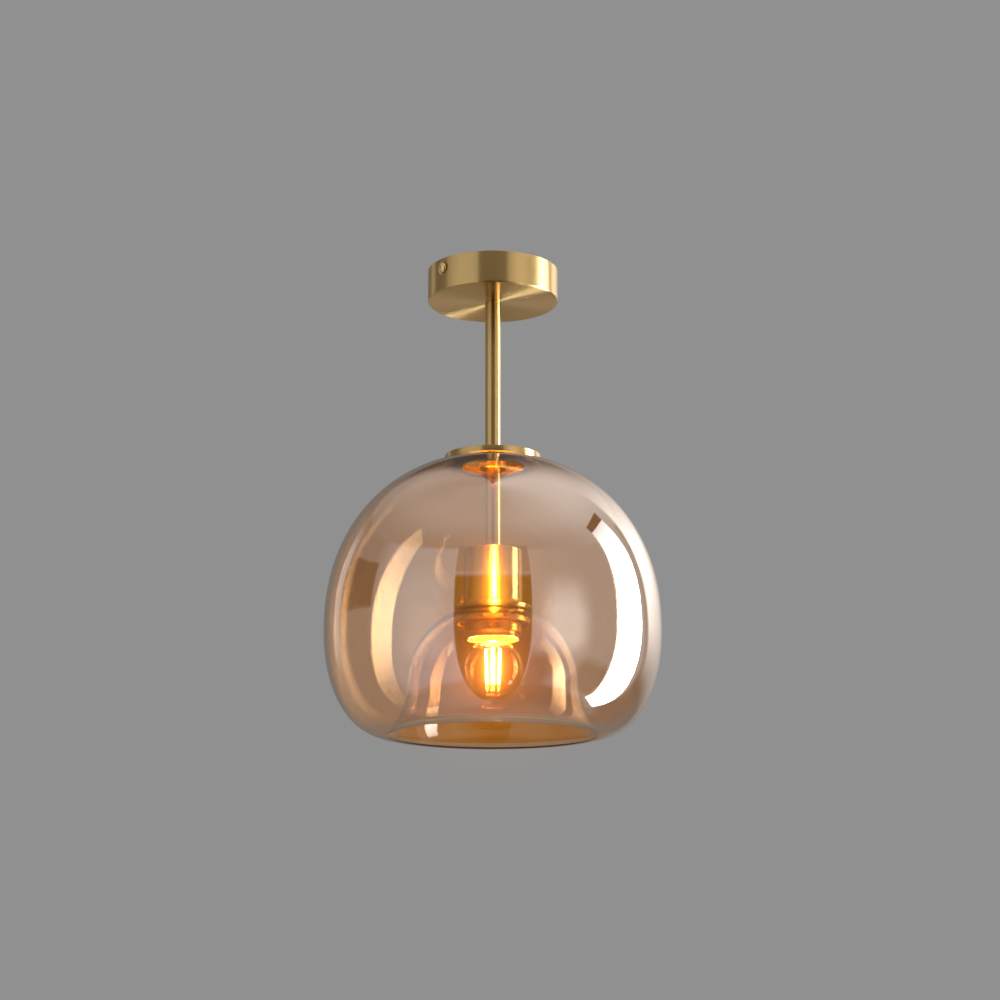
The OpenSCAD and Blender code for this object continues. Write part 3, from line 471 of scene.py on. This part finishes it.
def make_top_seal():
    """Ring whose collar stands in the glass's hole and whose flange lies on the glass, as one rounded
    outline, turned."""
    low, high, r = span("top_seal")
    collar, bore, collar_h = 29.1, 23.5, 5.0
    flange = low + collar_h
    profile = rounded([[bore, low], [collar, low], [collar, flange], [r, flange], [r, high],
                       [bore, high]], 0.4)
    return put_on(turned("cap_seal", profile, 160), "fixture", SILICONE, "silicone_clear", "top_seal")


# Glass bubble

def glass_line():
    """Room-side line of the glass: dome r = R cos(t)^(2/n), z = zw + H sin(t)^(2/n), then the belly, the
    flare and the bell's shoulder as further quarters of super-ellipses, and the flat crown."""
    fold, _, r = span("glass_shade")
    clamp = span("brim_gasket")[0]
    under, equator, waist = clamp - GLASS_WALL, clamp - EQUATOR_DROP, clamp - BELL_WAIST
    start = math.degrees(math.acos((TOP_HOLE_R / r) ** (DOME_FULL / 2)))
    dome = quarter(r, DOME_RISE + EQUATOR_DROP, DOME_FULL, start, 0, 90) + [0, equator]
    belly = quarter(r - FOLD_R, equator - fold, BELLY_FULL, 0, 90, 60)[1:] * [1, -1] + [FOLD_R, equator]
    flare = quarter(FOLD_R - BELL_R, waist - fold, FLARE_FULL, 90, 0, 40)[1:] * [-1, -1] + [FOLD_R, waist]
    shoulder = quarter(BELL_R - CROWN_R, under - waist, SHOULDER_FULL, 0, 90, 60)[1:] + [CROWN_R, waist]
    crown = [[CROWN_FLAT_R, under], [CLAMP_HOLE_R, under]]
    return np.concatenate([dome, belly]), np.concatenate([flare, shoulder, crown])


def make_glass():
    """Glass wall between the room-side line and the same line moved inwards by its thickness, closed at the
    top hole by one point that bulges from the middle of the wall. The lustre, a mirror coat, lies on the
    outside of the dome and belly and fades out over its last points before the fold."""
    dome_and_belly, bell = glass_line()
    skin = np.concatenate([dome_and_belly, bell])
    inside = beside(skin, GLASS_WALL)[::-1]
    lip = 0.5 * (skin[0] + inside[-1]) + (inside[-1] - skin[0])[::-1] * [1, -1] * -LIP_BULGE
    profile = np.concatenate([skin, inside, [lip]])
    piece = turned("glass_bubble", profile, GLASS_AROUND, smooth_angle=50)
    outer = len(dome_and_belly) - np.arange(len(profile))
    share = np.repeat(np.clip(outer / LUSTRE_FADE, 0, 1), GLASS_AROUND)
    piece.data.attributes.new("lustre", "FLOAT", "POINT").data.foreach_set("value", share.astype(np.float32))
    return put_on(piece, "fixture", AMBER, "glass_amber", "glass_shade")


# Lampholder

def make_cup():
    """Cup over the lampholder: flat top, rounded edge, straight side, a quarter ellipse that flares to the
    brim, and the brim's rounded rim, turned with its inside."""
    low, high, brim = span("lampholder_cup")
    r, wall, top_t, edge, brim_edge, flare, round_r = 22.0, 1.0, 1.2, 0.8, 3.3, 4.8, 2.4
    profile = np.concatenate([
        [[NIPPLE_HOLE_R, high]], spread([[8.0, high], [r - edge, high]], 3.0),
        arc(r - edge, high - edge, edge, edge, 90, 0, 6)[1:],
        spread([[r, high - edge], [r, low + brim_edge + flare]], 2.5)[1:],
        arc(brim, low + brim_edge + flare, -(brim - r), -flare, 0, 90, 24)[1:],
        arc(brim - 0.25, low + brim_edge - 0.25, 0.25, 0.25, 90, 0, 3),
        arc(brim - round_r, low + round_r, round_r, round_r, 0, -90, 12),
        [[r - wall, low], [r - wall, high - top_t], [NIPPLE_HOLE_R, high - top_t]]])
    return put_on(turned("holder_cup", profile, 192), "fixture", BRASS, "brass_satin", "lampholder_cup")


def make_gasket():
    """Flat ring: a rectangle with rounded corners, turned."""
    low, high, r = span("brim_gasket")
    bore = 20.2
    profile = rounded([[bore, low], [r, low], [r, high], [bore, high]], 0.3)
    return put_on(turned("brim_seal", profile, 160), "fixture", RUBBER, "rubber_black", "brim_gasket")


def make_shade_ring():
    """Ring of bent sheet with a flat, a sloping lip and a collar, as one rounded outline, turned."""
    low, high, r = span("shade_ring")
    bore, sheet, flat, lip_h, slope = 20.0, 1.2, 23.8, 6.5, 1.5
    profile = rounded([
        [bore, high], [flat, high], [r - 0.9, high - slope], [r, high - slope - 0.9], [r, high - lip_h],
        [r - sheet, high - lip_h], [r - sheet, high - slope - sheet], [flat, high - sheet],
        [bore + sheet, high - sheet], [bore + sheet, low + 1.0], [bore + sheet + 0.5, low + 0.5],
        [bore + sheet, low], [bore, low]], 0.5)
    return put_on(turned("glass_ring", profile, 192), "fixture", BRASS_PLAIN, "brass_plain", "shade_ring")


def thread(r, z_top, z_end, turns, depth):
    """Rolled thread seen as rings: radius r - depth + depth cos(2 pi turns s), with s from 0 at z_top to 1
    at z_end."""
    s = np.linspace(0, 1, turns * 12 + 1)
    return np.stack([r - depth + depth * np.cos(2 * np.pi * turns * s), z_top + (z_end - z_top) * s], 1)


def make_skirt():
    """Sleeve of the lampholder: a tube with a ledge for the insert inside and thread waves outside below the
    cup, turned."""
    low, high, r = span("holder_skirt")
    insert_end = span("holder_insert")[0]
    thread_top = span("lampholder_cup")[0]
    bore, ledge, pitch = r - 1.1, 15.4, 2.5
    turns = int((thread_top - low - 1) // pitch)
    profile = np.concatenate([
        [[bore, low + 0.2], [bore, insert_end - 2], [ledge, insert_end - 2], [ledge, insert_end],
         [bore, insert_end], [bore, high], [r, high]],
        thread(r, thread_top, thread_top - turns * pitch, turns, 0.25),
        [[r, low + 0.2], [r - 0.2, low], [bore + 0.2, low]]])
    return put_on(turned("holder_sleeve", profile, 160), "fixture", BRASS_PLAIN, "brass_plain",
                  "holder_skirt")


# Lamp

def make_globe():
    """Glass of the lamp: a neck, a hollow fillet and a globe, each an arc, with an even wall."""
    low, high, r = span("bulb_globe")
    wall, neck, hollow = 0.8, 12.3, 8.0
    centre = low + r
    arc_x = neck + hollow
    arc_z = centre + math.sqrt((r + hollow) ** 2 - arc_x ** 2)
    turn = math.degrees(math.atan2(arc_z - centre, arc_x))
    outer = np.concatenate([[[neck, high]], spread([[neck, high - 0.3], [neck, arc_z]], 1.5)[:-1],
                            arc(arc_x, arc_z, -hollow, -hollow, 0, turn, 20),
                            arc(0, centre, r, r, turn, -90, 100)[1:]])
    inner = beside(outer, wall)
    inner[-1, 0] = 0
    return put_on(turned("lamp_globe", np.concatenate([outer, inner[::-1]]), 160), "bulb", LAMP_GLASS,
                  "lamp_glass", "bulb_globe")


def make_screw_cap():
    """Thin shell of the lamp's screw cap: a rim, thread waves of the true pitch and a tapered end, with the
    same line inside moved in by the sheet's thickness."""
    low, high, r = span("bulb_screw_cap")
    pitch, waves, sheet, wave_depth = 3.63, 4, 0.35, 0.25
    cone = high - 3.0
    outer = np.concatenate([[[8.4, high], [10.0, high]],
                            thread(r, cone, cone - waves * pitch, waves, wave_depth),
                            [[r - wave_depth, low + 1], [r, low]]])
    inner = outer - [sheet, 0]
    inner[:2, 1] -= sheet
    return put_on(turned("lamp_screw_cap", np.concatenate([outer, inner[::-1]]), 128), "bulb", LAMP_METAL,
                  "lamp_metal", "bulb_screw_cap")


def make_filaments():
    """Round-ended strips round the lamp's axis, each leaning slightly inwards towards its lower end."""
    low, high, _ = span("bulb_filaments")
    count, r, ring, lean = 4, 1.0, 5.2, 0.9
    steps = np.linspace(0, 1, 9)
    u = np.linspace(0, 2 * np.pi, 24, endpoint=False)
    cap = np.sqrt(np.clip(1 - np.linspace(1, 0, 5) ** 2, 0, 1))
    radius = np.concatenate([cap * r, np.full(9, r), cap[::-1] * r])
    height = np.concatenate([np.linspace(high, high - r, 5), high - r + (low + r - high + r) * steps,
                             np.linspace(low + r, low, 5)])
    vertices, faces = [], []
    for k in range(count):
        turn = (k + 0.5) * 2 * np.pi / count
        centre = ring - lean * (high - height) / (high - low)
        x = centre[:, None] * np.cos(turn) + radius[:, None] * np.cos(u)
        y = centre[:, None] * np.sin(turn) + radius[:, None] * np.sin(u)
        z = height[:, None] + 0 * u
        faces.append(grid_faces(len(height), len(u), False) + k * x.size)
        vertices.append(np.stack([x, y, z], -1).reshape(-1, 3) * MM)
    piece = finished("light_strips", np.concatenate(vertices).tolist(), np.concatenate(faces).tolist(), 60)
    return put_on(piece, "bulb", FILAMENT, "filament", "bulb_filaments")


CANOPY = make_canopy()
make_stem()
TOP_CAP = make_top_cap()
make_top_seal()
make_glass()
CUP = make_cup()
make_gasket()
RING = make_shade_ring()
SKIRT = make_skirt()
make_globe()
make_screw_cap()
make_filaments()

SLOT_FINISH = {
    "brass_satin": BRASS, "brass_plain": BRASS_SMALL, "zinc_steel": ZINC, "glass_amber": AMBER,
    "silicone_clear": SILICONE, "rubber_black": RUBBER, "nylon_white": NYLON, "wire_brown": BROWN,
    "wire_blue": BLUE, "wire_green_yellow": GREEN, "porcelain": PORCELAIN, "lamp_metal": LAMP_METAL,
    "lamp_insulator": INSULATOR, "lamp_glass": LAMP_GLASS, "circuit_board": BOARD, "filament": FILAMENT,
}
for part in frame["record"]["subparts"]:
    solid = frame["nodes"][part["node"]]
    solid.data.materials.clear()
    solid.data.materials.append(SLOT_FINISH[part["material_slot"]])


# Studio

def towards_camera(turn, distance, height):
    """Point at an angle from the camera's side, positive to the right, at a distance from the axis."""
    a = CAMERA_TURN - math.radians(turn)
    return (-math.sin(a) * distance, -math.cos(a) * distance, height)


def make_camera():
    """Camera at the photograph's distance, height, turn and tilt."""
    data = bpy.data.cameras.new("photo_view")
    data.lens = LENS_MM
    data.sensor_width = 36
    data.shift_x = FRAME_SHIFT
    data.clip_end = 20
    camera = bpy.data.objects.new("photo_view", data)
    camera.location = towards_camera(0, CAMERA_DISTANCE, CAMERA_HEIGHT)
    camera.rotation_euler = (math.pi / 2 + CAMERA_PITCH, 0, -CAMERA_TURN)
    scene.collection.objects.link(camera)
    scene.camera = camera


def ray_history(tree):
    """Two values: 1 for rays that have bounced off a surface, and 1 for rays that have gone through glass."""
    path = tree.nodes.new("ShaderNodeLightPath")
    bounces = worked_out(tree, "ADD", path.outputs["Glossy Depth"], path.outputs["Diffuse Depth"])
    bounced = worked_out(tree, "GREATER_THAN", bounces, 0.5)
    return bounced, worked_out(tree, "GREATER_THAN", path.outputs["Transmission Depth"], 0.5)


def colour_mix(tree, share, first, second):
    """First at share 0 and second at share 1, each a socket or a grey."""
    made = tree.nodes.new("ShaderNodeMix")
    made.data_type = "RGBA"
    if isinstance(share, float):
        made.inputs["Factor"].default_value = share
    else:
        tree.links.new(share, made.inputs["Factor"])
    for socket, value in (("A", first), ("B", second)):
        if isinstance(value, float):
            made.inputs[socket].default_value = (value, value, value, 1)
        else:
            tree.links.new(value, made.inputs[socket])
    return made.outputs["Result"]


def ramp(tree, value, low, high, stops):
    """Colour by a value between low and high, straight between (value, level, warmth) stops, as a share of
    RAMP_TOP. Warmth w tints a level with (1, 1 - w, 1 - 2 w)."""
    share = tree.nodes.new("ShaderNodeMapRange")
    tree.links.new(value, share.inputs["Value"])
    share.inputs["From Min"].default_value = low
    share.inputs["From Max"].default_value = high
    made = tree.nodes.new("ShaderNodeValToRGB")
    tree.links.new(share.outputs["Result"], made.inputs["Fac"])
    while len(made.color_ramp.elements) < len(stops):
        made.color_ramp.elements.new(0.5)
    for element, (at, level, warmth) in zip(made.color_ramp.elements, stops):
        element.position = (at - low) / (high - low)
        share_of_top = level / RAMP_TOP
        element.color = (share_of_top, share_of_top * (1 - warmth), share_of_top * (1 - 2 * warmth), 1)
    return made.outputs["Color"]


def at_level(tree, colour):
    """Colour of a ramp, brought back to its level."""
    raised = tree.nodes.new("ShaderNodeVectorMath")
    raised.operation = "SCALE"
    raised.inputs["Scale"].default_value = RAMP_TOP
    tree.links.new(colour, raised.inputs[0])
    return raised.outputs[0]


def studio_world():
    """Even grey behind the light, and through glass an orange tone that darkens to the sides. Rays that have
    bounced see a room instead, whose level changes with the compass direction and from floor to ceiling."""
    world = bpy.data.worlds.new("studio")
    world.use_nodes = True
    world.cycles.sampling_method = "NONE"
    scene.world = world
    tree = world.node_tree
    new, link = tree.nodes.new, tree.links.new
    turn = new("ShaderNodeMapping")
    turn.inputs["Rotation"].default_value = (0, 0, CAMERA_TURN)
    link(new("ShaderNodeTexCoord").outputs["Generated"], turn.inputs["Vector"])
    split = new("ShaderNodeSeparateXYZ")
    link(turn.outputs["Vector"], split.inputs[0])
    towards = worked_out(tree, "MULTIPLY", split.outputs["Y"], -1)
    angle = worked_out(tree, "ARCTAN2", split.outputs["X"], towards)
    degrees = worked_out(tree, "MULTIPLY", angle, 180 / math.pi)

    def above(low, high):
        """0 below one height in degrees and 1 above another, with a smooth step between."""
        share = new("ShaderNodeMapRange")
        share.interpolation_type = "SMOOTHSTEP"
        link(split.outputs["Z"], share.inputs["Value"])
        share.inputs["From Min"].default_value = math.sin(math.radians(low))
        share.inputs["From Max"].default_value = math.sin(math.radians(high))
        return share.outputs["Result"]

    floor, room, ceiling = (ramp(tree, degrees, -180, 180, stops) for stops in (FLOOR, ROOM, CEILING))
    dimmed = colour_mix(tree, above(*DIM_TO_FULL), colour_mix(tree, DIM_SHARE, 0.0, ceiling), ceiling)
    upper = colour_mix(tree, above(*ROOM_TO_CEILING), room, dimmed)
    walls = colour_mix(tree, above(*FLOOR_TO_ROOM), floor, upper)
    beyond = ramp(tree, split.outputs["Y"], 0, 1, THROUGH_GLASS)
    bounced, through = ray_history(tree)
    direct = colour_mix(tree, through, BACKDROP_GREY, at_level(tree, beyond))
    link(colour_mix(tree, bounced, direct, at_level(tree, walls)), tree.nodes["Background"].inputs["Color"])


def glow_panel(name, rows, level, colour=(1, 1, 1), cover=1.0, share=1.0):
    """Glowing grid of points that is seen only in reflections. Cover is how much of it hides what lies
    behind, and share the part of its level, both point by point."""
    grid = np.array(rows, float)
    corner = np.arange(grid.shape[0] * grid.shape[1]).reshape(grid.shape[:2])
    faces = np.stack([corner[:-1, :-1], corner[:-1, 1:], corner[1:, 1:], corner[1:, :-1]], -1)
    mesh = bpy.data.meshes.new(name)
    mesh.from_pydata(grid.reshape(-1, 3).tolist(), [], faces.reshape(-1, 4).tolist())
    for key, value in (("cover", cover), ("share", share)):
        spread_out = np.broadcast_to(value, grid.shape[:2]).astype(np.float32).ravel()
        mesh.attributes.new(key, "FLOAT", "POINT").data.foreach_set("value", spread_out)
    panel = bpy.data.objects.new(name, mesh)
    scene.collection.objects.link(panel)
    glow = bpy.data.materials.new(name)
    glow.use_nodes = True
    glow.cycles.emission_sampling = "NONE"
    tree = glow.node_tree
    tree.nodes.clear()
    new, link = tree.nodes.new, tree.links.new
    shine = new("ShaderNodeEmission")
    shine.inputs["Color"].default_value = (*colour, 1)
    factors = []
    for key, by in (("share", level), ("cover", ray_history(tree)[0])):
        read = new("ShaderNodeAttribute")
        read.attribute_name = key
        factors.append(worked_out(tree, "MULTIPLY", read.outputs["Fac"], by))
    link(factors[0], shine.inputs["Strength"])
    mix = new("ShaderNodeMixShader")
    link(factors[1], mix.inputs["Fac"])
    link(new("ShaderNodeBsdfTransparent").outputs[0], mix.inputs[1])
    link(shine.outputs[0], mix.inputs[2])
    link(mix.outputs[0], new("ShaderNodeOutputMaterial").inputs["Surface"])
    mesh.materials.append(glow)
    panel.visible_camera = False
    panel.visible_diffuse = False
    panel.visible_shadow = False


def room_wall(name, left, right, low, high, level, warmth, soft_left, soft_right, soft):
    """Patch of the room between two compass turns and two heights in degrees, on the sphere of the walls.
    Its cover rises smoothly from 0 at each border to 1 at the given number of degrees inside."""
    turn, rise = np.linspace(left, right, 49)[None, :], np.linspace(low, high, 33)[:, None]
    share = np.clip(np.minimum((turn - left) / soft_left, (right - turn) / soft_right), 0, 1) * \
        np.clip(np.minimum(rise - low, high - rise) / soft, 0, 1)
    a, e = CAMERA_TURN - np.radians(turn), np.radians(rise)
    points = np.stack([-np.sin(a) * np.cos(e), -np.cos(a) * np.cos(e), np.sin(e) + 0 * a], -1) * ROOM_R
    points[..., 2] += ROOM_CENTRE
    glow_panel(name, points, level, (1, 1 - warmth, 1 - 2 * warmth), share * share * (3 - 2 * share))


def make_studio():
    """Strip light, walls and floor. The strip's edges are (1 - t) near + t far at each row's place t."""
    right = np.array([math.cos(CAMERA_TURN), -math.sin(CAMERA_TURN)])
    back = np.array([math.sin(CAMERA_TURN), math.cos(CAMERA_TURN)])
    near, far = (right * side + back * behind for side, behind in (STRIP_NEAR, STRIP_FAR))
    strip = np.array(STRIP)
    edges = near + strip[:, 1::2, None] * (far - near)
    rows = np.concatenate([edges, strip[:, 0:3:2, None]], -1)
    glow_panel("right_strip", rows, STRIP_LEVEL, share=strip[:, 4:])
    for wall in WALLS:
        room_wall(*wall)
    floor_mesh = bpy.data.meshes.new("floor")
    s, z = FLOOR_HALF_WIDTH, FLOOR_HEIGHT
    floor_mesh.from_pydata([(-s, -s, z), (s, -s, z), (s, s, z), (-s, s, z)], [], [(0, 1, 2, 3)])
    floor = bpy.data.objects.new("floor", floor_mesh)
    scene.collection.objects.link(floor)
    floor_mesh.materials.append(Finish("pale_floor", (FLOOR_GREY, FLOOR_GREY, FLOOR_GREY), 0.8).material)
    floor.visible_glossy = False


def aimed(lift=0.0, turn=0.0):
    """Rotation of a light that shines away from the camera's side, lifted by radians and turned by
    degrees."""
    return (math.pi / 2 + lift, 0, math.radians(turn) - CAMERA_TURN)


def lamp_light(name, kind, energy, colour, place, turn=(0, 0, 0), seen=False, only=(), **settings):
    """Light that falls on all pieces or only on some. The camera never sees it, and mirrors only if seen."""
    light = bpy.data.lights.new(name, kind)
    light.energy, light.color = energy, colour
    for key, value in settings.items():
        setattr(light, key, value)
    made = bpy.data.objects.new(name, light)
    made.location, made.rotation_euler = place, turn
    made.visible_camera = made.visible_transmission = False
    made.visible_glossy = seen
    scene.collection.objects.link(made)
    if only:
        lit = bpy.data.collections.new(name)
        for piece in only:
            lit.objects.link(piece)
        made.light_linking.receiver_collection = lit


def make_lights():
    """The lamp's glow on everything, then lights on single pieces, set for this view. They are not
    what a lit lamp throws by itself."""
    upwards = (math.pi, 0, 0)
    lamp_light("lamp_glow", "POINT", 6.0, (1.0, 0.42, 0.08), (0, 0, -0.31), shadow_soft_size=0.008)
    lamp_light("mouth_glow", "AREA", 0.42, (1.0, 0.75, 0.4), (0, 0, -0.2895), upwards,
               shape="DISK", size=0.036, seen=True)
    lamp_light("ring_glow", "AREA", 5.5, (1.0, 0.5, 0.13), towards_camera(0, 0.12, -0.4), aimed(0.9),
               shape="RECTANGLE", size=0.44, size_y=0.1, seen=True, only=[RING, SKIRT])
    lamp_light("canopy_fill", "AREA", 0.45, (1.0, 0.8, 0.6), towards_camera(180, 0.8, -0.32), aimed(0.3, 180),
               shape="RECTANGLE", size=1.2, size_y=0.5, seen=True, only=[CANOPY])
    lamp_light("cap_glow", "AREA", 1.0, (1.0, 0.45, 0.08), (0, 0, -0.212), upwards,
               shape="DISK", size=0.07, seen=True, only=[TOP_CAP])
    lamp_light("cup_image", "AREA", 1.0, (1.0, 0.8, 0.12), towards_camera(4, 0.108, -0.262), aimed(0.0, 4),
               shape="RECTANGLE", size=0.03, size_y=0.05, spread=math.radians(70), seen=True, only=[CUP])
    lamp_light("cup_warmth", "AREA", 3.6, (1.0, 0.28, 0.02), towards_camera(0, 0.2, -0.36), aimed(0.5),
               shape="RECTANGLE", size=0.3, size_y=0.12, seen=True, only=[CUP])


def bloom():
    """Camera bloom round what is brighter than its threshold, above all the lit filaments."""
    scene.use_nodes = True
    tree = scene.node_tree
    tree.nodes.clear()
    layers, out = tree.nodes.new("CompositorNodeRLayers"), tree.nodes.new("CompositorNodeComposite")
    glare = tree.nodes.new("CompositorNodeGlare")
    glare.glare_type = "BLOOM"
    glare.quality = "HIGH"
    for key, value in BLOOM.items():
        glare.inputs[key].default_value = value
    tree.links.new(layers.outputs["Image"], glare.inputs["Image"])
    tree.links.new(glare.outputs["Image"], out.inputs["Image"])


make_camera()
studio_world()
make_studio()
make_lights()
bloom()
scene.view_settings.view_transform = "Standard"
scene.cycles.max_bounces = 24
scene.cycles.transmission_bounces = 24
scene.cycles.glossy_bounces = 8
scene.cycles.sample_clamp_indirect = 50
scene.cycles.transparent_max_bounces = 32
